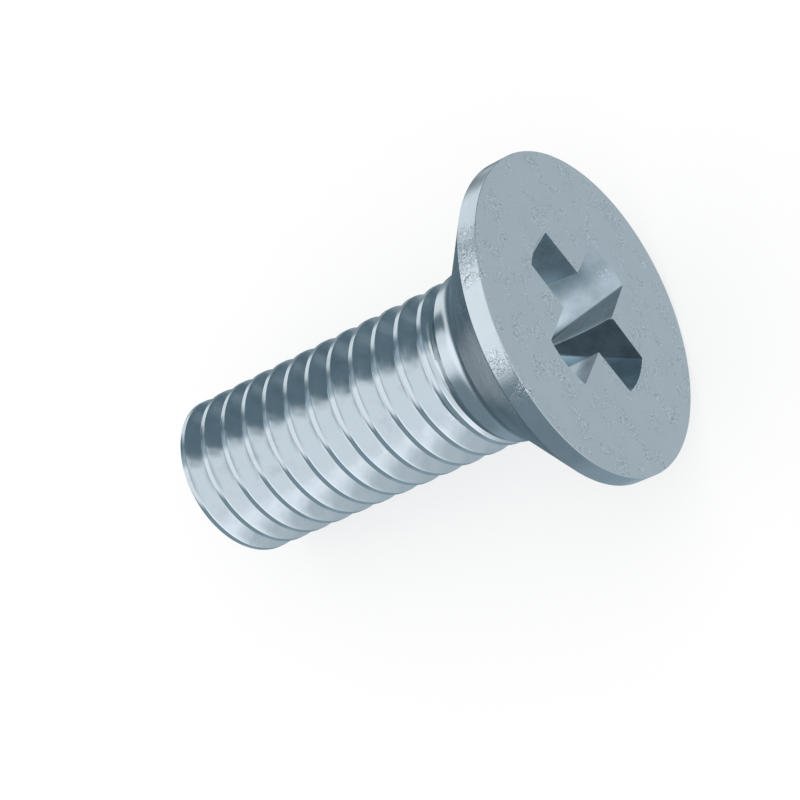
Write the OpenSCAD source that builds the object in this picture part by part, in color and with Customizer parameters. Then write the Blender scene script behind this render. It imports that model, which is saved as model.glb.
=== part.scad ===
// Countersunk machine screw with a cross recess, lying on its side.
// Lengths are in millimetres. The resting surface is the plane z = 0.
// The axis rises towards the head, which points along +X.

/* [Head] */
// Diameter of the flat head
head_d = 11.2; // [9.5:0.1:13]
// Height of the straight rim under the head face
rim_h = 0.71; // [0.3:0.01:1.4]
// Full angle of the countersunk cone
cone_angle = 90; // [82:1:100]

/* [Neck] */
// Slope of the neck, which widens towards the head
neck_taper = 12; // [6:1:20]
// Length of the neck, from the run-out of the thread to its corner with the cone
neck_l = 0.75; // [0.6:0.01:1.2]
// Height of the neck's lower edge above the crests of the thread
neck_step = 0.06; // [0.02:0.01:0.2]
// Radius of the fillet that blends the neck into the cone
neck_fillet_r = 1.4; // [0.6:0.1:2]
// Angle between the run-out cone and the screw's axis
runout_angle = 30; // [24:1:60]

/* [Thread] */
// Overall length from the head face to the tip
screw_l = 16; // [10:0.5:30]
// Outside diameter of the thread
thread_d = 5.86; // [5:0.02:6.8]
// Distance from one crest to the next
thread_pitch = 1; // [0.75:0.05:1.25]
// Width of the flat along each crest
crest_flat = 0.2; // [0.1:0.01:0.26]
// Width of the flat along each root
root_flat = 0.13; // [0.06:0.01:0.2]
// Full angle between the two flanks
flank_angle = 60; // [55:1:66]
// Chamfer at the tip
tip_chamfer = 0.15; // [0.05:0.01:0.4]
// Angle about the axis where the crest meets the tip
thread_turn = 20; // [0:1:359]

/* [Cross recess] */
// Diameter across the ends of the wings at the head face
recess_d = 5.77; // [4.8:0.01:6.6]
// Width of each wing at its outer end
wing_end_w = 1.85; // [1.5:0.01:2.1]
// Width of each wing where it leaves the centre
wing_root_w = 1.94; // [1.6:0.01:2.3]
// Angle between a wing's end wall and the axis
wing_taper = 26.5; // [22:0.5:29]
// Depth from the head face to the point of the recess
recess_depth = 3.4; // [2.8:0.05:3.8]
// Full angle of the conical point of the recess
point_angle = 140; // [125:1:150]
// Angle of the cross about the axis
recess_turn = 45; // [0:1:89]

/* [Hidden] */
// Steps in one turn of the thread and segments in one turn of a revolved face
turn_steps = 64;
round_steps = 128;
// Overshoot of every cut past the face that it opens
cut_over = 0.5;
steel_grey = [0.66, 0.71, 0.745];

head_r = head_d / 2;
thread_r = thread_d / 2;
half_cone = cone_angle / 2;

// Thread profile: the depth follows from the pitch, the flats and the flank angle
flank_run = (thread_pitch - crest_flat - root_flat) / 2;
thread_depth = flank_run / tan(flank_angle / 2);
root_r = thread_r - thread_depth;

// Neck: it widens from the run-out's edge, and a fillet blends its corner with the cone
neck_low_r = thread_r + neck_step;
neck_high_r = neck_low_r + neck_l * tan(neck_taper);
corner = [neck_high_r, -(rim_h + (head_r - neck_high_r) / tan(half_cone))];
runout_start = [neck_low_r, corner[1] - neck_l];
blend_l = neck_fillet_r * tan((half_cone - neck_taper) / 2);
cone_tangent = corner + blend_l * [sin(half_cone), cos(half_cone)];
neck_tangent = corner - blend_l * [sin(neck_taper), cos(neck_taper)];
fillet_c = neck_tangent + neck_fillet_r * [cos(neck_taper), -sin(neck_taper)];
core_r = root_r - cut_over;
core_z = runout_start[1] - (runout_start[0] - core_r) / tan(runout_angle);

// Recess: the tapering wings end where the conical point starts
point_slope = tan(point_angle / 2);
wing_slope = tan(wing_taper);
wing_depth = (recess_depth - recess_d / 2 / point_slope) / (1 - wing_slope / point_slope);
point_r = recess_d / 2 - wing_depth * wing_slope;

// Thread sweep: it starts past the tip and ends inside the neck
sweep_over = 1.15 * thread_pitch;
sweep_low = -screw_l - sweep_over;
sweep_high = runout_start[1] + sweep_over;
sweep_rows = ceil((sweep_high - sweep_low) / thread_pitch * turn_steps);
sweep_start = thread_turn - sweep_over / thread_pitch * 360;

// Rest: the rim's lower edge and the tip's chamfer edge both touch z = 0
rest_tilt = atan((head_r - thread_r) / (screw_l - tip_chamfer - rim_h));
rest_z = rim_h * sin(rest_tilt) + head_r * cos(rest_tilt);
rest_x = (screw_l * cos(rest_tilt) + (root_r - head_r) * sin(rest_tilt)) / 2;

// One row of the thread profile, from the tip side of a crest to the next root
function profile_row(i) =
    let (turn = sweep_start + i * 360 / turn_steps)
    let (crest_z = sweep_low + i * thread_pitch / turn_steps)
    let (low = crest_z - crest_flat / 2)
    let (high = crest_z + crest_flat / 2)
    [for (p = [[thread_r, low], [thread_r, high],
               [root_r, high + flank_run], [root_r, high + flank_run + root_flat]])
        [p[0] * cos(turn), p[0] * sin(turn), p[1]]];

// Index of point j in row i; point 4 is the next crest, one turn further on
function pt(i, j) = j < 4 ? 4 * i + j : 4 * (i + turn_steps);

// Two triangles between rows i and i + 1, from point j to point j + 1
function band(i, j) = [
    [pt(i, j), pt(i, j + 1), pt(i + 1, j + 1)],
    [pt(i, j), pt(i + 1, j + 1), pt(i + 1, j)]
];

// Threaded shank as one closed surface with a pointed cap at each end
module thread_sweep() {
    rows = sweep_rows;
    low_tip = 4 * (rows + 1);
    high_tip = low_tip + 1;
    points = [for (i = [0:rows]) each profile_row(i)];
    tips = [[0, 0, sweep_low - cut_over], [0, 0, sweep_high + cut_over]];
    sides = [for (i = [0:rows - 1]) for (j = [0:2]) each band(i, j)];
    roots = [for (i = [0:rows - turn_steps - 1]) each band(i, 3)];
    low_ring = [for (i = [0:turn_steps - 1]) [low_tip, pt(i, 0), pt(i + 1, 0)]];
    low_step = [for (j = [0:3]) [low_tip, pt(0, j + 1), pt(0, j)]];
    high_ring = [for (i = [rows - turn_steps:rows - 1]) [high_tip, pt(i + 1, 3), pt(i, 3)]];
    high_step = [for (j = [0:2]) [high_tip, pt(rows, j), pt(rows, j + 1)]];
    high_link = [[high_tip, pt(rows - turn_steps, 3), pt(rows, 0)]];
    polyhedron(
        points = concat(points, tips),
        faces = concat(sides, roots, low_ring, low_step, high_ring, high_step, high_link),
        convexity = 8
    );
}

// Space that the finished shank may fill: cut square at the tip, with its chamfer
module shank_envelope() {
    outer = thread_r + cut_over;
    rotate_extrude($fn = round_steps)
        polygon([
            [0, -screw_l],
            [thread_r - tip_chamfer, -screw_l],
            [outer, -screw_l + tip_chamfer + cut_over],
            [outer, 0],
            [0, 0]
        ]);
}

// Head, cone, neck fillet and run-out cone as one revolved profile
module head_and_neck() {
    rotate_extrude($fn = round_steps)
        difference() {
            polygon([
                [0, 0],
                [head_r, 0],
                [head_r, -rim_h],
                cone_tangent,
                neck_tangent,
                runout_start,
                [core_r, core_z],
                [0, core_z]
            ]);
            translate(fillet_c)
                circle(r = neck_fillet_r, $fn = 4 * round_steps);
        }
}

// Plan of the cross: four wings that narrow a little towards their ends
module cross_plan() {
    root = wing_root_w / 2;
    reach = recess_d / 2 + cut_over;
    side_slope = (wing_end_w / 2 - root) / (recess_d / 2 - root);
    end = root + side_slope * (reach - root);
    polygon([for (k = [0:3]) for (p = [[reach, -end], [reach, end], [root, root]])
        [p[0] * cos(90 * k) - p[1] * sin(90 * k), p[0] * sin(90 * k) + p[1] * cos(90 * k)]]);
}

// Cross recess: the plan cut by a tapering cone with a shallow conical point
module cross_recess() {
    rotate([0, 0, recess_turn])
        intersection() {
            rotate_extrude($fn = round_steps)
                polygon([
                    [0, -recess_depth],
                    [point_r, -wing_depth],
                    [recess_d / 2 + cut_over * wing_slope, cut_over],
                    [0, cut_over]
                ]);
            translate([0, 0, -recess_depth - cut_over])
                linear_extrude(height = recess_depth + 2 * cut_over)
                    cross_plan();
        }
}

// The whole screw, laid down from its upright axis
module screw() {
    color(steel_grey)
        translate([rest_x, 0, rest_z])
            rotate([0, 90 - rest_tilt, 0])
                difference() {
                    union() {
                        head_and_neck();
                        intersection() {
                            thread_sweep();
                            shank_envelope();
                        }
                    }
                    cross_recess();
                }
}

screw();
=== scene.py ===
"""Zinc plated countersunk machine screw with a cross recess, lying on a pale studio floor.

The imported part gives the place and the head's size. The screw is one welded skin: a helical
shank grid, a revolved neck and head, a flat face around the recess, and the recess itself.
Sizes are in millimetres in the screw's own frame, where the axis is +Z, the head face is z = 0
and the tip is below it. Everything put into Blender is in metres.
"""

import logging
import math
from dataclasses import dataclass, field
from enum import Enum

import bmesh
import bpy
import numpy as np
from mathutils import Matrix, Vector


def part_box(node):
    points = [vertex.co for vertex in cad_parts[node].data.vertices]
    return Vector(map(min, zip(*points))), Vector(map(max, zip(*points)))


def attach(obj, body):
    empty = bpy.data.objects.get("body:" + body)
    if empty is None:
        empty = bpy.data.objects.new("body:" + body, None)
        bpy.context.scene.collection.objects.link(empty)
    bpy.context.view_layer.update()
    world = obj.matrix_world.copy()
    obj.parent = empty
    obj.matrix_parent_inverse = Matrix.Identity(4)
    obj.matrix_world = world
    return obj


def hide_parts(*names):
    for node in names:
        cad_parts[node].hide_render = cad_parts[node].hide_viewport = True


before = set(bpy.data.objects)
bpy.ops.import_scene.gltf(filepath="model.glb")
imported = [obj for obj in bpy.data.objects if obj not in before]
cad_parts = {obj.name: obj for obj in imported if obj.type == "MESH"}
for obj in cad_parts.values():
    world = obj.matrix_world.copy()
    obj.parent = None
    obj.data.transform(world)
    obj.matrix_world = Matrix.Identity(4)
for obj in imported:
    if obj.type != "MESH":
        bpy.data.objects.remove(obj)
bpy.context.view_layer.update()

MM = 0.001
NODE = "screw"
BODY = "root"
log = logging.getLogger("screw")


@dataclass(frozen=True)
class ThreadForm:
    """Sizes of the rolled thread, in millimetres and degrees."""

    outer_r: float = 2.93
    pitch: float = 1.0
    crest_flat: float = 0.2
    root_flat: float = 0.13
    flank_angle: float = 60.0
    crest_edge_r: float = 0.045
    root_edge_r: float = 0.07
    start_turn: float = 20.0
    edge_steps: int = 4

    @property
    def flank_run(self) -> float:
        """Length along the axis that one flank takes."""
        return (self.pitch - self.crest_flat - self.root_flat) / 2

    @property
    def root_r(self) -> float:
        """Radius at the bottom of the groove."""
        return self.outer_r - self.flank_run / math.tan(math.radians(self.flank_angle / 2))

    @property
    def edge_turn(self) -> float:
        """Angle between a flank and the flat beside it, in radians."""
        return math.radians(90 - self.flank_angle / 2)

    def radius(self, offset: np.ndarray) -> np.ndarray:
        """Radius of the profile at a distance along the axis from the middle of a crest.

        The profile is a flat crest, a straight flank and a flat root. An arc tangent to both
        neighbours rounds each of the two edges: r = centre +- sqrt(R^2 - distance^2).

        Args:
            offset: distances along the axis, any sign and any number of pitches.

        Returns:
            The radii, in the shape of offset.
        """
        share, sine = math.tan(self.edge_turn / 2), math.sin(self.edge_turn)
        away = np.abs((offset + self.pitch / 2) % self.pitch - self.pitch / 2)
        crest_x = self.crest_flat / 2 - self.crest_edge_r * share
        root_x = self.pitch / 2 - (self.root_flat / 2 - self.root_edge_r * share)
        slope = 1 / math.tan(math.radians(self.flank_angle / 2))
        flank = self.outer_r - slope * (away - self.crest_flat / 2)
        crest = self.outer_r - self.crest_edge_r + np.sqrt(
            np.maximum(self.crest_edge_r ** 2 - (away - crest_x) ** 2, 0))
        root = self.root_r + self.root_edge_r - np.sqrt(
            np.maximum(self.root_edge_r ** 2 - (root_x - away) ** 2, 0))
        return np.select(
            [away <= crest_x, away < crest_x + self.crest_edge_r * sine,
             away > root_x, away > root_x - self.root_edge_r * sine],
            [self.outer_r, crest, self.root_r, root], flank)

    def samples(self, flank_points: int = 3) -> np.ndarray:
        """Offsets along one pitch, from a crest's middle, dense at the rounded edges.

        Args:
            flank_points: number of points inside each flank.

        Returns:
            The offsets, in rising order.
        """
        share = math.tan(self.edge_turn / 2)
        turns = self.edge_turn * np.linspace(0, 1, self.edge_steps)
        crest = self.crest_flat / 2 - self.crest_edge_r * share + self.crest_edge_r * np.sin(turns)
        root_x = self.pitch / 2 - self.root_flat / 2 + self.root_edge_r * share
        root = root_x - self.root_edge_r * np.sin(turns[::-1])
        flank = crest[-1] + (root[0] - crest[-1]) * np.linspace(0, 1, flank_points + 2)[1:-1]
        half = np.concatenate([crest, flank, root])
        return np.concatenate([[0.0], half, [self.pitch / 2], self.pitch - half[::-1]])


@dataclass(frozen=True)
class HeadForm:
    """Sizes of the head, the neck, the run-out and the tip, in millimetres and degrees."""

    outer_r: float
    shank_r: float
    length: float = 16.0
    tip_chamfer: float = 0.15
    rim_h: float = 0.71
    cone_angle: float = 90.0
    neck_taper: float = 12.0
    neck_length: float = 0.75
    neck_step: float = 0.06
    fillet_r: float = 1.4
    runout_angle: float = 30.0
    rim_edge_r: float = 0.014
    neck_steps: int = 4
    fillet_steps: int = 18
    cone_steps: int = 14
    rim_steps: int = 8
    edge_steps: int = 5

    @property
    def half_cone(self) -> float:
        """Half of the countersunk angle, in radians."""
        return math.radians(self.cone_angle / 2)

    @property
    def neck_lean(self) -> float:
        """Angle between the neck's side and the axis, in radians."""
        return math.radians(self.neck_taper)

    @property
    def corner(self) -> tuple[float, float]:
        """Radius and height where the neck's side and the cone would meet without the fillet."""
        radius = self.shank_r + self.neck_step + self.neck_length * math.tan(self.neck_lean)
        return radius, -(self.rim_h + (self.outer_r - radius) / math.tan(self.half_cone))

    @property
    def runout(self) -> tuple[float, float]:
        """Radius and height of the edge where the run-out cone meets the neck."""
        return self.shank_r + self.neck_step, self.corner[1] - self.neck_length

    @property
    def rest_tilt(self) -> float:
        """Slope of the axis, in radians, when the rim and the tip both touch the floor."""
        return math.atan((self.outer_r - self.shank_r) / (self.length - self.tip_chamfer - self.rim_h))

    def runout_radius(self, height: np.ndarray) -> np.ndarray:
        """Radius of the run-out cone, which narrows evenly below its edge."""
        radius, top = self.runout
        return radius - (top - height) * math.tan(math.radians(self.runout_angle))

    def fillet(self) -> np.ndarray:
        """Arc tangent to the neck's side and to the cone.

        Returns:
            An array of (radius, height) rows.
        """
        lean = self.neck_lean
        reach = self.fillet_r * math.tan((self.half_cone - lean) / 2)
        start = np.array(self.corner) - reach * np.array([math.sin(lean), math.cos(lean)])
        centre = start + self.fillet_r * np.array([math.cos(lean), -math.sin(lean)])
        turns = np.linspace(lean, self.half_cone, self.fillet_steps)
        return centre + self.fillet_r * np.stack([-np.cos(turns), np.sin(turns)], 1)

    def profile(self) -> np.ndarray:
        """Radius and height of each point from the run-out edge to the rim of the face.

        It is the neck's straight side, the fillet's arc, the straight cone, and the rim with
        both its edges rounded. Each rounding is an arc tangent to the lines beside it.

        Returns:
            An array of (radius, height) rows.
        """
        edge = np.array([self.runout])
        arc = self.fillet()
        lower = self.rounded((self.outer_r, -self.rim_h), math.pi / 2 - self.half_cone, 0.0)
        upper = self.rounded((self.outer_r, 0.0), 0.0, -math.pi / 2)
        neck = edge + (arc[0] - edge) * np.linspace(0, 1, self.neck_steps)[:-1, None]
        cone = arc[-1] + (lower[0] - arc[-1]) * np.linspace(0, 1, self.cone_steps)[1:-1, None]
        rim = lower[-1] + (upper[0] - lower[-1]) * np.linspace(0, 1, self.rim_steps)[1:-1, None]
        return np.concatenate([neck, arc, cone, lower, rim, upper])

    def rounded(self, corner: tuple[float, float], before: float, after: float) -> np.ndarray:
        """Arc that replaces an outer corner of the profile.

        The outline runs upwards. Its direction leans outwards from the axis by an angle that
        falls from before to after, and the arc's points follow a circle tangent to both.

        Args:
            corner: radius and height of the sharp corner.
            before: lean of the outline under the corner, in radians.
            after: lean of the outline past the corner, in radians.

        Returns:
            The (radius, height) rows along the arc.
        """
        reach = self.rim_edge_r * math.tan((before - after) / 2)
        start = np.array(corner) - reach * np.array([math.sin(before), math.cos(before)])
        centre = start - self.rim_edge_r * np.array([math.cos(before), -math.sin(before)])
        lean = np.linspace(before, after, self.edge_steps)
        return centre + self.rim_edge_r * np.stack([np.cos(lean), -np.sin(lean)], 1)


@dataclass(frozen=True)
class RecessForm:
    """Sizes of the cross recess, in millimetres and degrees."""

    reach: float = 2.885
    end_half: float = 0.925
    root_half: float = 0.97
    taper: float = 26.5
    depth: float = 3.4
    point_angle: float = 140.0
    turn: float = 45.0
    corner_share: float = 0.22
    corner_steps: int = 8
    side_steps: int = 19
    end_steps: int = 26

    @property
    def point_slope(self) -> float:
        """Growth of the conical floor's radius with height."""
        return math.tan(math.radians(self.point_angle / 2))

    @property
    def wall_depth(self) -> float:
        """Depth where the end walls meet the conical floor."""
        slope = math.tan(math.radians(self.taper))
        return (self.depth - self.reach / self.point_slope) / (1 - slope / self.point_slope)

    def outline(self, depth: float) -> np.ndarray:
        """Closed outline of the cross at one depth, as (x, y) rows.

        A wing runs out along its side line, round its end on a circle that shrinks with depth,
        and back along its other side. The side line is y = m x + c, and it meets the circle where
        x^2 + y^2 = R^2. Between two wings an arc of radius r, sharp at the face and softer below
        it, touches both side lines: its centre (e, e) has e (1 - m) = c + r sqrt(1 + m^2).

        Args:
            depth: distance below the head face.

        Returns:
            Four wings of side_steps + end_steps + side_steps points each.
        """
        radius = self.reach - depth * math.tan(math.radians(self.taper))
        m = (self.end_half - self.root_half) / (self.reach - self.root_half)
        c = self.root_half * (1 - m)
        root = math.sqrt((m * c) ** 2 - (1 + m * m) * (c * c - radius * radius))
        x = (root - m * c) / (1 + m * m)
        outer = np.array([x, m * x + c])
        soft = self.corner_share * depth / self.wall_depth * (x - self.root_half)
        centre = (c + soft * math.hypot(1, m)) / (1 - m)
        lean = np.linspace(1.25 * math.pi, 1.5 * math.pi + math.atan(m), self.corner_steps)
        corner = centre + soft * np.stack([np.cos(lean), np.sin(lean)], 1)
        share = np.linspace(0, 1, self.side_steps - self.corner_steps + 1, endpoint=False)[1:, None]
        side = np.concatenate([corner, corner[-1] + (outer - corner[-1]) * share])
        half_turn = math.atan2(outer[1], outer[0])
        turn = np.linspace(-half_turn, half_turn, self.end_steps, endpoint=False)
        end = radius * np.stack([np.cos(turn), np.sin(turn)], 1)
        back = np.concatenate([outer[None, :], side[:0:-1]])
        wing = np.concatenate([side * [1, -1], end, back])
        quarter = np.array([[0.0, 1.0], [-1.0, 0.0]])
        return np.concatenate([wing @ np.linalg.matrix_power(quarter, k) for k in range(4)])

    def floor_height(self, radius: np.ndarray) -> np.ndarray:
        """Height of the conical floor, which rises evenly from its point."""
        return radius / self.point_slope - self.depth


@dataclass
class Resting:
    """Where the screw's own frame lies in the part's frame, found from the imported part's box."""

    head: HeadForm
    low: Vector
    high: Vector

    @property
    def origin(self) -> np.ndarray:
        """Centre of the head face, in metres."""
        tilt = self.head.rest_tilt
        return np.array([
            self.high.x - self.head.outer_r * MM * math.sin(tilt),
            (self.low.y + self.high.y) / 2,
            self.high.z - self.head.outer_r * MM * math.cos(tilt)])

    @property
    def turn(self) -> float:
        """Turn about Y that lays the upright screw down, in radians."""
        return math.pi / 2 - self.head.rest_tilt

    def place(self, points: np.ndarray) -> np.ndarray:
        """Carries points from the screw's frame, in millimetres, to the part's frame, in metres.

        Args:
            points: coordinates in the screw's frame, any shape that holds whole triples.

        Returns:
            One row of three for each point.
        """
        cos, sin = math.cos(self.turn), math.sin(self.turn)
        rotation = np.array([[cos, 0, sin], [0, 1, 0], [-sin, 0, cos]])
        return points.reshape(-1, 3) @ rotation.T * MM + self.origin


@dataclass
class ScrewSkin:
    """The whole surface of the screw, built from grids that share their edge points."""

    thread: ThreadForm
    head: HeadForm
    recess: RecessForm
    resting: Resting
    face_rings: int = 6
    wall_rows: int = 14
    floor_rings: int = 8
    tip_rings: int = 3
    fine_flank: int = 8
    fine_turns: int = 3
    runout_edge: float = 0.018
    weld: float = 2e-4
    sharp_angle: float = 28.0
    points: list[np.ndarray] = field(default_factory=list)
    faces: list[np.ndarray] = field(default_factory=list)

    @property
    def columns(self) -> int:
        """Number of points round the axis, the same on every grid."""
        return 4 * (2 * self.recess.side_steps + self.recess.end_steps)

    def angles(self, closed: bool = False) -> np.ndarray:
        """Angles of the columns, with the first one repeated at a full turn where closed."""
        count = self.columns
        return np.arange(count + int(closed)) * 2 * math.pi / count

    def add_grid(self, grid: np.ndarray, closed: bool) -> None:
        """Adds a grid of points as quads.

        Args:
            grid: points in the screw's frame, as rows by columns by three.
            closed: whether the last column joins the first one.
        """
        rows, cols, _ = grid.shape
        first = sum(len(p) for p in self.points)
        index = np.arange(rows * cols).reshape(rows, cols) + first
        right = np.roll(index, -1, 1) if closed else index[:, 1:]
        left = index if closed else index[:, :-1]
        quads = np.stack([left[:-1], right[:-1], right[1:], left[1:]], -1)
        self.points.append(grid.reshape(-1, 3))
        self.faces.append(quads.reshape(-1, 4))

    def shank(self) -> None:
        """Adds the threaded shank and the run-out cone.

        Each column's rows follow the helix: z = tip + pitch (angle - start) / turn + offset. The
        radius is the larger of the thread's and the run-out cone's, and no larger than the tip
        chamfer's. Rows past either end are clamped to it, and welding removes them. The last
        turns, where the thread runs out, have more rows on their flanks.
        """
        thread, head = self.thread, self.head
        tip, top = -head.length, head.runout[1]
        turns = math.ceil((top - tip) / thread.pitch) - 1
        first = np.arange(-1, turns)[:, None] * thread.pitch
        last = np.arange(turns, turns + self.fine_turns)[:, None] * thread.pitch
        steps = np.concatenate([
            (first + thread.samples()).ravel(), (last + thread.samples(self.fine_flank)).ravel()])
        angle = self.angles(closed=True)
        lead = (np.degrees(angle) - thread.start_turn) / 360 * thread.pitch
        height = np.clip(tip + lead[None, :] + steps.reshape(-1, 1), tip, top)
        radius = thread.radius(height - tip - lead[None, :])
        radius = self.soft_larger(radius, head.runout_radius(height))
        radius = np.minimum(radius, thread.outer_r - head.tip_chamfer + height - tip)
        self.add_grid(self.revolve(radius, height, angle), closed=False)
        rim = radius[0, :-1]
        share = np.linspace(0, 1, self.tip_rings + 1)[:, None]
        rings = rim[None, :] * share
        self.add_grid(self.revolve(rings, np.full_like(rings, tip), angle[:-1]), closed=True)

    def soft_larger(self, a: np.ndarray, b: np.ndarray) -> np.ndarray:
        """The larger of two radii, (a + b + sqrt((a - b)^2 + k^2)) / 2, with a corner of size k."""
        return (a + b + np.sqrt((a - b) ** 2 + self.runout_edge ** 2)) / 2

    def revolve(self, radius: np.ndarray, height: np.ndarray, angle: np.ndarray) -> np.ndarray:
        """Points at each radius and height, turned about the axis by the column's angle."""
        return np.stack([radius * np.cos(angle), radius * np.sin(angle), height], -1)

    def neck_and_head(self) -> None:
        """Adds the fillet, the cone, the rim and the flat ring between the rim and the recess."""
        angle = self.angles()
        profile = self.head.profile()
        radius = np.repeat(profile[:, :1], len(angle), 1)
        height = np.repeat(profile[:, 1:], len(angle), 1)
        body = self.revolve(radius, height, angle)
        self.add_grid(body, closed=True)
        inner = self.cross(0.0, np.zeros(self.columns))
        share = np.linspace(0, 1, self.face_rings + 1)[:, None, None]
        self.add_grid(body[-1] + (inner - body[-1]) * share, closed=True)

    def cross(self, depth: float, height: np.ndarray) -> np.ndarray:
        """The recess outline of one depth, turned into place and set at the given heights.

        Args:
            depth: distance below the head face that gives the outline.
            height: height of each of its points.

        Returns:
            One row of three for each point.
        """
        plan = self.recess.outline(depth)
        turn = math.radians(self.recess.turn)
        cos, sin = math.cos(turn), math.sin(turn)
        x, y = plan[:, 0], plan[:, 1]
        return np.stack([x * cos - y * sin, x * sin + y * cos, height], -1)

    def cross_recess(self) -> None:
        """Adds the walls of the recess and its conical floor.

        The walls run from the face to the floor's cone. The floor's rings shrink the lowest
        outline towards the axis, and follow the cone's height.
        """
        recess = self.recess
        low = recess.outline(recess.wall_depth)
        bottom = recess.floor_height(np.hypot(low[:, 0], low[:, 1]))
        share = np.linspace(0, 1, self.wall_rows + 1)
        walls = [self.cross(t * recess.wall_depth, t * bottom) for t in share]
        self.add_grid(np.stack(walls), closed=True)
        scale = np.linspace(1, 0, self.floor_rings + 1)[:, None, None]
        rings = walls[-1] * scale
        rings[..., 2] = recess.floor_height(np.hypot(rings[..., 0], rings[..., 1]))
        self.add_grid(rings, closed=True)

    def build(self) -> bpy.types.Object:
        """Welds the grids into one closed mesh.

        Returns:
            The screw's object, with its faces pointing outwards and its hard edges marked.
        """
        self.shank()
        self.neck_and_head()
        self.cross_recess()
        mesh = bpy.data.meshes.new("countersunk_screw")
        mesh.from_pydata(np.concatenate(self.points), [], np.concatenate(self.faces).tolist())
        work = bmesh.new()
        work.from_mesh(mesh)
        bmesh.ops.remove_doubles(work, verts=work.verts, dist=self.weld)
        bmesh.ops.recalc_face_normals(work, faces=work.faces)
        work.to_mesh(mesh)
        work.free()
        mesh.shade_smooth()
        mesh.set_sharp_from_angle(angle=math.radians(self.sharp_angle))
        points = np.empty(3 * len(mesh.vertices))
        mesh.vertices.foreach_get("co", points)
        self.mark_runout(mesh, points[2::3])
        mesh.vertices.foreach_set("co", self.resting.place(points).ravel())
        mesh.update()
        piece = bpy.data.objects.new("countersunk_screw", mesh)
        bpy.context.scene.collection.objects.link(piece)
        return piece

    def mark_runout(self, mesh: bpy.types.Mesh, height: np.ndarray) -> None:
        """Marks the ring between the neck and the run-out cone as a hard edge.

        Args:
            mesh: the welded mesh.
            height: height of each of its points in the screw's frame.
        """
        on_ring = np.abs(height - self.head.runout[1]) < self.weld
        ends = np.empty(2 * len(mesh.edges), dtype=np.int32)
        sharp = np.empty(len(mesh.edges), dtype=bool)
        mesh.edges.foreach_get("vertices", ends)
        mesh.edges.foreach_get("use_edge_sharp", sharp)
        mesh.edges.foreach_set("use_edge_sharp", sharp | on_ring[ends.reshape(-1, 2)].all(1))


class Link:
    """A node's output that arithmetic can be written with."""

    def __init__(self, graph: "Graph", socket: bpy.types.NodeSocket | None) -> None:
        """Keeps the output socket and the graph that it belongs to."""
        self.graph = graph
        self.socket = socket

    def math(self, operation: str, *others: "Link | float") -> "Link":
        """Feeds this value and the others to a Math node."""
        values = dict(enumerate((self, *others)))
        return self.graph.node("ShaderNodeMath", {"operation": operation}, values)

    def __add__(self, other: "Link | float") -> "Link":
        """Sum."""
        return self.math("ADD", other)

    __radd__ = __add__

    def __mul__(self, other: "Link | float") -> "Link":
        """Product."""
        return self.math("MULTIPLY", other)

    __rmul__ = __mul__

    def __sub__(self, other: "Link | float") -> "Link":
        """Difference."""
        return self.math("SUBTRACT", other)

    def __rsub__(self, other: float) -> "Link":
        """Difference with the number first."""
        return self.graph.node("ShaderNodeMath", {"operation": "SUBTRACT"}, {0: other, 1: self})

    def __truediv__(self, other: "Link | float") -> "Link":
        """Quotient."""
        return self.math("DIVIDE", other)

    def step(self, low: float, high: float, bottom: float = 0.0, top: float = 1.0) -> "Link":
        """Smooth ramp from bottom to top while this value goes from low to high.

        Args:
            low: value where the ramp starts; it may be larger than high.
            high: value where the ramp ends.
            bottom: result before the ramp.
            top: result after the ramp.

        Returns:
            The result.
        """
        return self.graph.node(
            "ShaderNodeMapRange", {"interpolation_type": "SMOOTHSTEP"},
            {"Value": self, "From Min": low, "From Max": high, "To Min": bottom, "To Max": top})


class Graph:
    """A material's or a world's node tree, with one method that makes every node."""

    def __init__(self, tree: bpy.types.NodeTree) -> None:
        """Empties the tree and keeps it."""
        self.tree = tree
        tree.nodes.clear()

    def node(self, kind: str, settings: dict | None = None, values: dict | None = None,
             out: int | str = 0) -> Link:
        """Makes one node.

        Args:
            kind: the node's type.
            settings: properties, which are set first.
            values: numbers, tuples or links for the input sockets, by name or index.
            out: the output to hand back.

        Returns:
            That output.
        """
        made = self.tree.nodes.new(kind)
        for name, value in (settings or {}).items():
            setattr(made, name, value)
        for key, value in (values or {}).items():
            if isinstance(value, Link):
                self.tree.links.new(value.socket, made.inputs[key])
            else:
                made.inputs[key].default_value = value
        return Link(self, made.outputs[out]) if made.outputs else Link(self, None)

    def blend(self, factor: Link | float, low: Link | tuple, high: Link | tuple) -> Link:
        """Colour mixed from low to high by the factor."""
        return self.node("ShaderNodeMix", {"data_type": "RGBA"}, {0: factor, 6: low, 7: high}, out=2)

    def dot(self, vector: Link, axis: Vector) -> Link:
        """Length of the vector along an axis, times the axis's own length."""
        return self.node("ShaderNodeVectorMath", {"operation": "DOT_PRODUCT"},
                         {0: vector, 1: tuple(axis)}, out="Value")

    def scaled(self, vector: Link, factor: Link) -> Link:
        """Colour or vector times a factor."""
        return self.node("ShaderNodeVectorMath", {"operation": "SCALE"}, {0: vector, "Scale": factor})

    def noise(self, vector: Link, scale: float, detail: float = 2.0, rough: float = 0.5) -> Link:
        """Smooth noise from 0 to 1, with features about 1 / scale across.

        Args:
            vector: the point that the noise is read at.
            scale: features per unit of length.
            detail: number of finer layers.
            rough: strength of each finer layer, as a share of the one before.

        Returns:
            The noise.
        """
        return self.node("ShaderNodeTexNoise", {}, {
            "Vector": vector, "Scale": scale, "Detail": detail, "Roughness": rough})


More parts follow.
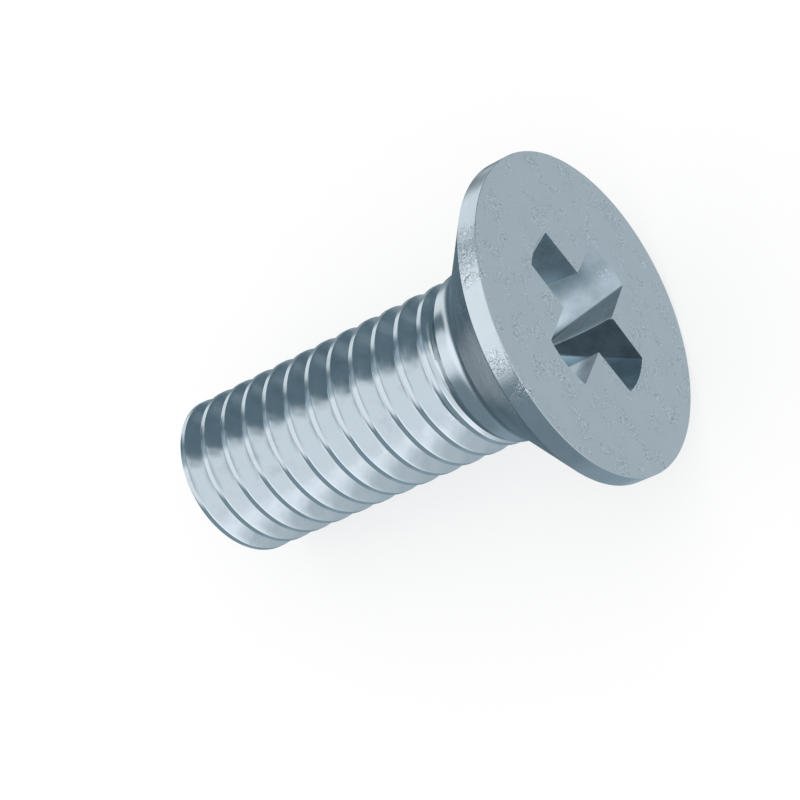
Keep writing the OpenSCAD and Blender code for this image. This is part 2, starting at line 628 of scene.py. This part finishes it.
class ScrewPlace:
    """The screw's own coordinates in a material, in millimetres, and the masks of its parts.

    Each pair of numbers below is where a mask starts and where it is full. CORE is the share of
    a spot's reach inside which its mask is full.
    """

    FACE_DEPTH = (0.004, 0.0005)
    THREAD_DEPTH = (3.87, 3.94)
    CREST_RADIUS = (2.89, 2.925)
    OUTSIDE_RADIUS = (2.9, 2.95)
    RECESS_DEPTH = (3.65, 3.55)
    RIM_DEPTH = (0.73, 0.71)
    CONE_END = (3.2, 2.6)
    CORE = 1 / 3

    def __init__(self, g: Graph, resting: Resting, recess: RecessForm) -> None:
        """Builds the coordinates and the masks.

        Args:
            g: the graph that gets the nodes.
            resting: where the screw lies.
            recess: gives the angle of the cross.
        """
        where = g.node("ShaderNodeTexCoord", out="Object")
        self.g = g
        self.point = g.node("ShaderNodeMapping", {"vector_type": "TEXTURE"}, {
            "Vector": where, "Location": tuple(resting.origin),
            "Rotation": (0.0, resting.turn, 0.0), "Scale": (MM, MM, MM)})
        self.x, self.y, self.z = (
            g.node("ShaderNodeSeparateXYZ", {}, {0: self.point}, out=part) for part in range(3))
        self.depth = 0.0 - self.z
        self.radius = (self.x * self.x + self.y * self.y).math("SQRT")
        self.across = self.sideways(recess.turn), self.sideways(recess.turn - 90)
        outside = self.radius.step(*self.OUTSIDE_RADIUS)
        self.face = self.depth.step(*self.FACE_DEPTH)
        self.thread = self.depth.step(*self.THREAD_DEPTH)
        self.crest = self.radius.step(*self.CREST_RADIUS) * self.thread
        self.recess = (1.0 - self.face) * (1.0 - outside) * self.depth.step(*self.RECESS_DEPTH)
        self.rim = outside * (1.0 - self.face) * self.depth.step(*self.RIM_DEPTH)
        self.cone = outside * (1.0 - self.depth.step(*self.RIM_DEPTH)) * self.depth.step(*self.CONE_END)

    def sideways(self, angle: float) -> Link:
        """Distance from the axis in the direction at an angle about it, x cos a + y sin a."""
        turn = math.radians(angle)
        return self.x * math.cos(turn) + self.y * math.sin(turn)

    def toward(self, angle: float, half_width: float) -> Link:
        """One near an angle about the axis, in degrees, falling to zero on both sides of it.

        The cosine of the angle between the point and that direction is its distance that way
        over its radius.

        Args:
            angle: the angle about the axis.
            half_width: degrees from the angle at which the mask has fallen to zero.

        Returns:
            The mask, from 0 to 1.
        """
        edge = math.radians(half_width)
        cosine = self.sideways(angle) / self.radius
        return cosine.step(math.cos(edge), math.cos(edge * self.CORE))

    def near(self, spot: tuple[float, float, float], reach: float) -> Link:
        """One at a spot, falling to zero at the given distance from it."""
        away = self.g.node("ShaderNodeVectorMath", {"operation": "DISTANCE"},
                           {0: self.point, 1: spot}, out="Value")
        return away.step(reach, reach * self.CORE)

    def stretched(self, around: float, along: float) -> Link:
        """Point for patterns drawn out round the axis or along it: (x / r, y / r) and z, scaled."""
        return self.g.node("ShaderNodeCombineXYZ", {}, {
            0: self.x / self.radius * around, 1: self.y / self.radius * around, 2: self.z * along})


class Patterns:
    """Noise patterns that the parts of the finish share, in the screw's own coordinates."""

    MIDDLE = 0.5

    def __init__(self, g: Graph, at: ScrewPlace) -> None:
        """Builds the patterns; specks and crowd run from 0 to 1, the others swing about zero.

        Args:
            g: the graph that gets the nodes.
            at: the screw's coordinates.
        """
        self.specks = g.noise(at.point, scale=13, detail=1.0)
        self.crowd = g.noise(at.point, scale=1.1, detail=3.0, rough=0.6)
        self.grain = g.noise(at.point, scale=20, detail=3.0) - self.MIDDLE
        self.mottle = g.noise(at.point, scale=1.3, detail=4.0, rough=0.6) - self.MIDDLE
        self.wave = g.noise(at.point, scale=0.85) - self.MIDDLE
        self.along = g.noise(at.stretched(around=7, along=0.6), scale=1.0, detail=1.0) - self.MIDDLE
        self.around = g.noise(at.stretched(around=3, along=9), scale=1.0) - self.MIDDLE
        self.curls = self.winding(g.noise(at.point, scale=6.5, detail=1.0) - self.MIDDLE, 0.09)

    def winding(self, swing: Link, half_width: float) -> Link:
        """Thin winding lines where a pattern passes zero, light on one side and dark on the other."""
        side = swing / half_width
        return side * side.math("ABSOLUTE").step(1.0, 0.0)


class Skin:
    """Colour factor, height in millimetres and roughness, as the patterns add them up."""

    def __init__(self, rough: Link) -> None:
        """Starts from the plain plating with the given roughness."""
        self.shade = 1.0
        self.height = 0.0
        self.rough = rough

    def add(self, mask: Link, shade: float = 0.0, height: float = 0.0, rough: float = 0.0) -> None:
        """Adds one pattern, each amount times its mask.

        Args:
            mask: the pattern.
            shade: what it adds to the colour factor.
            height: what it adds to the height, in millimetres.
            rough: what it adds to the roughness.
        """
        if shade:
            self.shade = self.shade + mask * shade
        if height:
            self.height = self.height + mask * height
        if rough:
            self.rough = self.rough + mask * rough


@dataclass(frozen=True)
class Scratch:
    """One straight scratch on the head face, from one end to the other, in millimetres."""

    start: tuple[float, float]
    end: tuple[float, float]
    half_width: float
    height: float
    shade: float
    taper: float = 0.3

    def mark(self, g: Graph, point: Link) -> Link:
        """One along the scratch and zero away from it, with tapered ends.

        The share t = (p - a).(b - a) / |b - a|^2 runs from 0 to 1 between the ends a and b. The
        distance from the line is |(p - a).n|, where n is the unit vector across it.

        Args:
            g: the graph that gets the nodes.
            point: the point in the screw's frame.

        Returns:
            The mask, from 0 to 1.
        """
        a, b = Vector((*self.start, 0)), Vector((*self.end, 0))
        along = (b - a) / (b - a).length_squared
        side = Vector((a.y - b.y, b.x - a.x, 0)).normalized()
        share = g.dot(point, along) - a.dot(along)
        away = (g.dot(point, side) - a.dot(side)).math("ABSOLUTE")
        ends = share.step(0.0, self.taper) * share.step(1.0, 1 - self.taper)
        return away.step(self.half_width, 0.0) * ends


@dataclass(frozen=True)
class ZincFinish:
    """Bright zinc plating: bluish metal, satin on the head and smoother on the thread.

    The places of single marks are an angle about the axis and a half width, in degrees. The
    recess's shadow has an angle only.
    """

    plating: tuple[float, ...] = (0.66, 0.69, 0.71, 1.0)
    # Darker plating in the recess, as painted shade.
    shaded_recess_tone: tuple[float, ...] = (0.355, 0.402, 0.435, 1.0)
    recess_shadow: tuple[float, ...] = (0.125, 0.172, 0.195, 1.0)
    cone_plating: tuple[float, ...] = (0.645, 0.665, 0.68, 1.0)
    # Painted shade on a short stretch of each crest, on one side.
    crest_shade_colour: tuple[float, ...] = (0.27, 0.34, 0.385, 1.0)
    head_rough: float = 0.17
    thread_rough: float = 0.13
    rim_stain: tuple[float, float] = (125, 12)
    rim_patches: tuple[tuple[float, float], ...] = ((165, 13), (-153, 13))
    # Painted shade on a stretch of the cone.
    shaded_cone: tuple[float, float] = (204, 28)
    recess_specks: tuple[float, float] = (120, 30)
    speck_spot: tuple[float, float, float] = (2.05, 1.75, -0.3)
    speck_reach: float = 0.35
    # Painted reflection: blotches on the flanks on one side.
    reflection_blotches: tuple[float, float] = (137, 30)
    # Painted highlight on the crests on one side.
    lit_crests: tuple[float, float] = (234, 34)
    shaded_crests: tuple[float, float] = (170, 12)
    shadow_turn: float = 110
    scratches: tuple[Scratch, ...] = (
        Scratch((-1.12, 5.45), (-0.66, 5.0), half_width=0.04, height=-0.006, shade=-0.25),
        Scratch((-2.80, -1.96), (-2.72, -2.77), half_width=0.035, height=0.004, shade=0.12),
        Scratch((-3.32, -2.2), (-3.1, -2.62), half_width=0.03, height=0.004, shade=0.1),
        Scratch((-0.98, -2.75), (-0.78, -3.12), half_width=0.03, height=0.004, shade=0.1),
    )
    name: str = "zinc_plating"

    def face(self, at: ScrewPlace, seen: Patterns, skin: Skin) -> None:
        """Satin face: fine grain, faint dents, clusters of specks and curls, and a few scratches.

        Args:
            at: the screw's coordinates and masks.
            seen: the shared patterns.
            skin: what the marks are added to.
        """
        skin.add(seen.grain * at.face, shade=0.16, height=0.0012)
        skin.add(seen.wave * at.face, shade=0.1, height=0.012)
        crowd = seen.crowd.step(0.46, 0.62) * at.face
        skin.add(seen.specks.step(0.6, 0.68) * crowd, shade=-0.3, height=-0.002)
        skin.add(seen.curls * crowd, shade=1.1, height=0.003)
        for scratch in self.scratches:
            skin.add(scratch.mark(at.g, at.point) * at.face, shade=scratch.shade, height=scratch.height)

    def rim(self, at: ScrewPlace, seen: Patterns, skin: Skin) -> None:
        """Rim: soft mottling, a dark stain, two pitted patches and a few more pits.

        Args:
            at: the screw's coordinates and masks.
            seen: the shared patterns.
            skin: what the marks are added to.
        """
        skin.add(seen.mottle * at.rim, shade=0.2, height=0.006)
        skin.add(at.toward(*self.rim_stain) * at.depth.step(0.2, 0.6) * at.rim, shade=-0.35)
        edge = at.radius.step(5.25, 5.5) * (1.0 - at.thread) * at.depth.step(0.8, 0.68)
        first, second = (at.toward(*place) for place in self.rim_patches)
        few = seen.crowd.step(0.6, 0.68) * at.rim
        crowd = seen.mottle.step(-0.1, 0.05) * (first + second) * edge + few
        skin.add(seen.specks.step(0.52, 0.64) * crowd, shade=-0.2, height=-0.003)
        skin.add(seen.curls * crowd, shade=1.2, height=0.004)

    def cone(self, at: ScrewPlace, seen: Patterns, skin: Skin) -> None:
        """Cone: dull mottling, faint streaks along it, a stretch of painted shade and scattered light
        specks.

        Args:
            at: the screw's coordinates and masks.
            seen: the shared patterns.
            skin: what the marks are added to.
        """
        skin.add(seen.mottle * at.cone, shade=0.7, height=0.015, rough=0.3)
        skin.add(seen.along * at.cone, shade=0.12, height=0.004)
        # Painted shade: a darker stretch low on the cone on one side.
        skin.add(at.toward(*self.shaded_cone) * at.depth.step(1.3, 2.2) * at.cone, shade=-0.22)
        crowd = seen.crowd.step(0.4, 0.6) * at.cone
        skin.add(seen.specks.step(0.64, 0.7) * crowd, shade=0.5, height=0.003)

    def recess(self, at: ScrewPlace, seen: Patterns, skin: Skin) -> None:
        """Recess: blotches and specks, and walls with painted light and shade, lighter or darker by
        wall and depth.

        Two wings run along the line low and two along the line high, and each wing's side walls
        lie 0.9 mm off its line.

        Args:
            at: the screw's coordinates and masks.
            seen: the shared patterns.
            skin: what the marks are added to.
        """
        low, high = at.across
        skin.add(seen.mottle * at.recess, shade=0.8, height=0.01)
        crowd = at.near(self.speck_spot, self.speck_reach) + at.toward(*self.recess_specks) * 0.35
        skin.add(seen.specks.step(0.58, 0.66) * crowd * at.recess, shade=0.45, height=0.003)
        # Painted shade on one side wall, and painted light on other walls and wing ends, growing with
        # depth.
        shaded_wall = low.step(0.88, 0.92) * high.step(0.9, 1.05) * (1.0 - self.shadow(at))
        lit_wall = high.step(0.88, 0.92) * low.step(-0.9, -1.05) * at.depth.step(0.3, 1.0)
        lit_end_high = high.step(1.2, 1.4) * low.step(0.92, 0.88) * at.depth.step(1.6, 2.0)
        lit_end_low = low.step(0.5, 1.2) * high.step(0.9, 0.7) * at.depth.step(1.5, 2.4)
        lit_far_wall = high.step(-0.94, -0.98) * at.depth.step(0.7, 1.8)
        lit_far_corner = high.step(-0.94, -0.97) * high.step(-1.7, -1.0) * at.depth.step(0.2, 1.0)
        for place, shade in ((shaded_wall, -0.48), (lit_wall, 1.9), (lit_end_high, 1.3),
                             (lit_end_low, 0.3), (lit_far_wall, 0.5), (lit_far_corner, 0.7)):
            skin.add(place * at.recess, shade=shade)

    def shadow(self, at: ScrewPlace) -> Link:
        """One on the recess's side wall and inner corner that the light hardly reaches.

        Args:
            at: the screw's coordinates and masks.

        Returns:
            The mask, from 0 to 1.
        """
        low, high = at.across
        beside = at.sideways(self.shadow_turn)
        side = high.step(0.88, 0.92) * low.step(0.9, 1.05)
        corner = beside.step(0.6, 1.3) * at.depth.step(0.15, 1.0) * high.step(-0.98, -0.94)
        return side.math("MAXIMUM", corner * 0.9)

    def thread(self, at: ScrewPlace, seen: Patterns, skin: Skin) -> None:
        """Thread: slight waves, marks drawn round by the rolling, smudges, blotchy painted reflection
        on one side of the flanks, and a painted highlight on the crests on another side.

        Args:
            at: the screw's coordinates and masks.
            seen: the shared patterns.
            skin: what the marks are added to.
        """
        skin.add(seen.wave * at.thread, height=0.03)
        skin.add(seen.around * at.thread, height=0.0015, rough=0.08)
        skin.add(seen.mottle.step(0.0, 0.25) * at.thread, shade=-0.12, rough=0.05)
        # Painted reflection: blotches on one side of the flanks.
        skin.add(seen.mottle * at.toward(*self.reflection_blotches) * at.thread, shade=0.8)
        # Painted highlight: paler crests on one side.
        skin.add(at.toward(*self.lit_crests) * at.crest, shade=0.25)

    def material(self, resting: Resting, recess: RecessForm) -> bpy.types.Material:
        """Builds the plating's material.

        Args:
            resting: where the screw lies, so that patterns follow its own frame.
            recess: gives the angle of the cross.

        Returns:
            The material.
        """
        material = bpy.data.materials.new(self.name)
        material.use_nodes = True
        g = Graph(material.node_tree)
        at = ScrewPlace(g, resting, recess)
        seen = Patterns(g, at)
        skin = Skin(at.thread.step(0.0, 1.0, self.head_rough, self.thread_rough))
        for part in (self.face, self.rim, self.cone, self.recess, self.thread):
            part(at, seen, skin)
        # Painted shade: the recess gets darker plating, and the shadow mask darkens its unlit side wall
        # and corner further.
        inside = g.blend(self.shadow(at), self.shaded_recess_tone, self.recess_shadow)
        metal = g.blend(at.recess, self.plating, inside)
        metal = g.blend(at.cone, metal, self.cone_plating)
        # Painted shade: a short stretch of each crest on one side is darkened.
        metal = g.blend(at.toward(*self.shaded_crests) * at.crest, metal, self.crest_shade_colour)
        shader = g.node("ShaderNodeBsdfPrincipled", {}, {
            "Base Color": g.scaled(metal, skin.shade), "Metallic": 1.0, "Roughness": skin.rough,
            "Normal": g.node("ShaderNodeBump", {}, {"Distance": MM, "Height": skin.height})})
        g.node("ShaderNodeOutputMaterial", {}, {"Surface": shader})
        return material


@dataclass(frozen=True)
class PhotoView:
    """The photograph's camera: where it looks from, how it is rolled, and its lens."""

    azimuth: float = 56.1096
    elevation: float = 59.4404
    roll: float = -73.2925
    lens: float = 98.593
    distance: float = 0.0730218
    aim: tuple[float, float, float] = (0.000243, -0.000359, 0.005339)
    nearest: float = 0.001

    def build(self) -> bpy.types.Object:
        """Makes the camera the scene's own.

        The camera looks at the aim point from the azimuth, measured from -Y towards +X, and the
        elevation above the floor. The roll turns it about its line of sight.

        Returns:
            The camera.
        """
        data = bpy.data.cameras.new("camera")
        data.lens = self.lens
        data.clip_start = self.nearest
        camera = bpy.data.objects.new("camera", data)
        around, up = math.radians(self.azimuth), math.radians(self.elevation)
        flat = math.cos(up)
        back = Vector((math.sin(around) * flat, -math.cos(around) * flat, math.sin(up)))
        right = Vector((math.cos(around), math.sin(around), 0))
        turned = Matrix.Rotation(-math.radians(self.roll), 3, back)
        right = turned.inverted() @ right
        top = back.cross(right)
        pose = Matrix((right, top, back)).transposed().to_4x4()
        pose.translation = Vector(self.aim) + back * self.distance
        camera.matrix_world = pose
        bpy.context.scene.collection.objects.link(camera)
        bpy.context.scene.camera = camera
        return camera


class Tone(Enum):
    """Tones of the studio's panels, as linear light."""

    DARK = (0.125, 0.195, 0.24)
    DIM = (0.24, 0.33, 0.385)
    WARM = (0.34, 0.40, 0.455)
    GREY = (0.47, 0.56, 0.62)
    MID = (0.52, 0.60, 0.655)
    PALE = (0.84, 0.93, 0.99)
    BRIGHT = (1.12, 1.21, 1.28)


@dataclass(frozen=True)
class Panel:
    """One soft-edged elliptical panel of the tent, as seen from the screw, in degrees."""

    azimuth: float
    elevation: float
    half_width: float
    half_height: float
    soft: float
    tone: Tone
    level: float = 1.0
    least_ahead: float = 0.02

    def mask(self, g: Graph, way: Link) -> Link:
        """One on the panel and zero away from it.

        With c the direction of its middle and e1, e2 across it, a direction d lies at
        q = |(d.e1 / tan w, d.e2 / tan h)| / d.c, which is 1 on the panel's edge.

        Args:
            g: the graph that gets the nodes.
            way: the direction from the screw.

        Returns:
            The mask, from 0 to 1.
        """
        around, up = math.radians(self.azimuth), math.radians(self.elevation)
        flat = math.cos(up)
        middle = Vector((flat * math.cos(around), flat * math.sin(around), math.sin(up)))
        east = Vector((-math.sin(around), math.cos(around), 0))
        north = middle.cross(east)
        across = east / math.tan(math.radians(self.half_width))
        along = north / math.tan(math.radians(self.half_height))
        x, y, ahead = (g.dot(way, axis) for axis in (across, along, middle))
        reach = (x * x + y * y).math("SQRT") / ahead.math("MAXIMUM", self.least_ahead)
        return reach.step(1 - self.soft, 1 + self.soft, 1.0, 0.0)

    @property
    def colour(self) -> tuple[float, float, float, float]:
        """Light that the panel gives."""
        return (*(part * self.level for part in self.tone.value), 1.0)


@dataclass(frozen=True)
class Studio:
    """Floor, world and the light tent that the plating mirrors."""

    floor_half: float = 0.6
    floor_colour: tuple[float, ...] = (0.97, 0.97, 0.97, 1.0)
    floor_share: float = 0.62
    floor_lift: float = 1.05
    seen_rays: tuple[str, ...] = ("Is Camera Ray", "Is Glossy Ray", "Is Transmission Ray")
    tent_radius: float = 0.3
    tent_centre: tuple[float, float, float] = (0.0, 0.0, 0.0055)
    tent_segments: int = 48
    tent_rings: int = 24
    tent_fade: tuple[float, float] = (-0.87, 0.09)
    panels: tuple[Panel, ...] = (
        Panel(0, 90, 35, 35, 0.5, Tone.PALE, 0.9),
        Panel(-5, 79, 16, 12, 0.5, Tone.GREY, 0.85),
        Panel(-62, 52, 22, 18, 0.6, Tone.BRIGHT, 1.0),
        Panel(-40, 8, 12, 18, 0.7, Tone.BRIGHT, 0.98),
        Panel(20, 42, 24, 13, 0.6, Tone.GREY, 1.0),
        Panel(22, -44, 24, 20, 0.6, Tone.MID, 0.965),
        Panel(-72, 6, 18, 18, 0.6, Tone.PALE, 1.1),
        Panel(-30, -25, 8, 10, 0.7, Tone.MID, 1.05),
        Panel(-25, 0, 5, 6, 0.8, Tone.BRIGHT, 0.95),
        Panel(91, 43, 18, 20, 0.35, Tone.DIM, 1.05),
        Panel(-130, 51, 13, 11, 0.5, Tone.MID, 0.86),
        Panel(44, 14, 17, 13, 0.5, Tone.DARK, 1.0),
        Panel(72, -3, 44, 38, 0.42, Tone.DARK, 1.0),
        Panel(79, -24, 6, 20, 0.6, Tone.DIM, 1.2),
        Panel(54, -14, 7, 6, 0.8, Tone.DIM, 0.85),
        Panel(125, 25, 22, 16, 0.4, Tone.GREY, 0.95),
        Panel(122, -4, 14, 22, 0.4, Tone.PALE, 1.0),
        Panel(122, -28, 9, 10, 0.5, Tone.GREY, 0.62),
        Panel(136, -20, 8, 12, 0.4, Tone.PALE, 1.05),
        Panel(144, 7, 10, 9, 0.4, Tone.DARK, 0.9),
        Panel(-145, -48, 40, 26, 0.4, Tone.DIM, 1.12),
        Panel(-134, 4, 36, 40, 0.25, Tone.DIM, 0.83),
        Panel(162, -36, 26, 24, 0.3, Tone.DARK, 0.75),
        Panel(148, -58, 24, 14, 0.4, Tone.DARK, 0.9),
        Panel(-176, -32, 16, 22, 0.3, Tone.DARK, 0.7),
        Panel(166, -42, 5, 6, 0.5, Tone.WARM, 0.98),
        Panel(172, 46, 35, 20, 0.3, Tone.BRIGHT, 0.88),
        Panel(172, 24, 8, 12, 0.5, Tone.BRIGHT, 0.9),
        Panel(171, 3, 13, 13, 0.35, Tone.BRIGHT, 1.0),
    )

    def floor(self) -> bpy.types.Object:
        """Large pale floor that the screw lies on, left out of the plating's reflections.

        Returns:
            The floor.
        """
        side = self.floor_half
        corners = [(-side, -side, 0), (side, -side, 0), (side, side, 0), (-side, side, 0)]
        mesh = bpy.data.meshes.new("floor")
        mesh.from_pydata(corners, [], [(0, 1, 2, 3)])
        floor = bpy.data.objects.new("floor", mesh)
        bpy.context.scene.collection.objects.link(floor)
        floor.visible_glossy = False
        material = bpy.data.materials.new("floor")
        material.use_nodes = True
        g = Graph(material.node_tree)
        lit = g.node("ShaderNodeBsdfDiffuse", {}, {"Color": self.floor_colour})
        white = g.node("ShaderNodeEmission", {}, {"Color": (1, 1, 1, 1), "Strength": self.floor_lift})
        seen = sum((g.node("ShaderNodeLightPath", out=ray) for ray in self.seen_rays[1:]),
                   g.node("ShaderNodeLightPath", out=self.seen_rays[0]))
        both = g.node("ShaderNodeMixShader", {}, {0: seen * self.floor_share, 1: lit, 2: white})
        g.node("ShaderNodeOutputMaterial", {}, {"Surface": both})
        mesh.materials.append(material)
        return floor

    def tent(self) -> bpy.types.Object:
        """Sphere round the screw whose panels only show in its reflections.

        Returns:
            The tent.
        """
        mesh = bpy.data.meshes.new("light_tent")
        work = bmesh.new()
        bmesh.ops.create_uvsphere(
            work, u_segments=self.tent_segments, v_segments=self.tent_rings, radius=self.tent_radius)
        bmesh.ops.translate(work, verts=work.verts, vec=self.tent_centre)
        work.to_mesh(mesh)
        work.free()
        tent = bpy.data.objects.new("light_tent", mesh)
        bpy.context.scene.collection.objects.link(tent)
        tent.visible_camera = False
        tent.visible_diffuse = False
        tent.visible_shadow = False
        mesh.materials.append(self.tent_light())
        return tent

    def tent_light(self) -> bpy.types.Material:
        """Light of the tent: paler above, greyer below, with the panels laid over it in order.

        Returns:
            The material.
        """
        material = bpy.data.materials.new("light_tent")
        material.use_nodes = True
        material.cycles.emission_sampling = "NONE"
        g = Graph(material.node_tree)
        where = g.node("ShaderNodeTexCoord", out="Object")
        centred = g.node("ShaderNodeVectorMath", {"operation": "SUBTRACT"},
                         {0: where, 1: self.tent_centre})
        way = g.node("ShaderNodeVectorMath", {"operation": "NORMALIZE"}, {0: centred})
        height = g.node("ShaderNodeSeparateXYZ", {}, {0: way}, out=2)
        fade = height.step(*self.tent_fade)
        light = g.blend(fade, (*Tone.GREY.value, 1.0), (*Tone.PALE.value, 1.0))
        for panel in self.panels:
            light = g.blend(panel.mask(g, way), light, panel.colour)
        shader = g.node("ShaderNodeEmission", {}, {"Color": light, "Strength": 1.0})
        g.node("ShaderNodeOutputMaterial", {}, {"Surface": shader})
        return material

    def world(self) -> None:
        """Even white surround that lights the floor."""
        world = bpy.data.worlds.new("studio")
        bpy.context.scene.world = world
        world.use_nodes = True
        g = Graph(world.node_tree)
        shader = g.node("ShaderNodeBackground", {}, {"Color": (1, 1, 1, 1), "Strength": 1.0})
        g.node("ShaderNodeOutputWorld", {}, {"Surface": shader})


def main() -> None:
    """Builds the screw, its finish, the studio and the camera."""
    logging.basicConfig(level=logging.INFO, format="%(message)s")
    low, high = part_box(NODE)
    thread = ThreadForm()
    head = HeadForm(outer_r=(high.y - low.y) / 2 / MM, shank_r=thread.outer_r)
    resting = Resting(head, low, high)
    recess = RecessForm()
    piece = ScrewSkin(thread, head, recess, resting).build()
    piece.data.materials.append(ZincFinish().material(resting, recess))
    piece.visible_glossy = False
    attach(piece, BODY)
    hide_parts(NODE)
    piece.data.calc_loop_triangles()
    log.info("%s: %d triangles", piece.name, len(piece.data.loop_triangles))
    studio = Studio()
    studio.floor()
    studio.tent()
    studio.world()
    PhotoView().build()
    bpy.context.scene.view_settings.view_transform = "Standard"


if __name__ == "__main__":
    main()
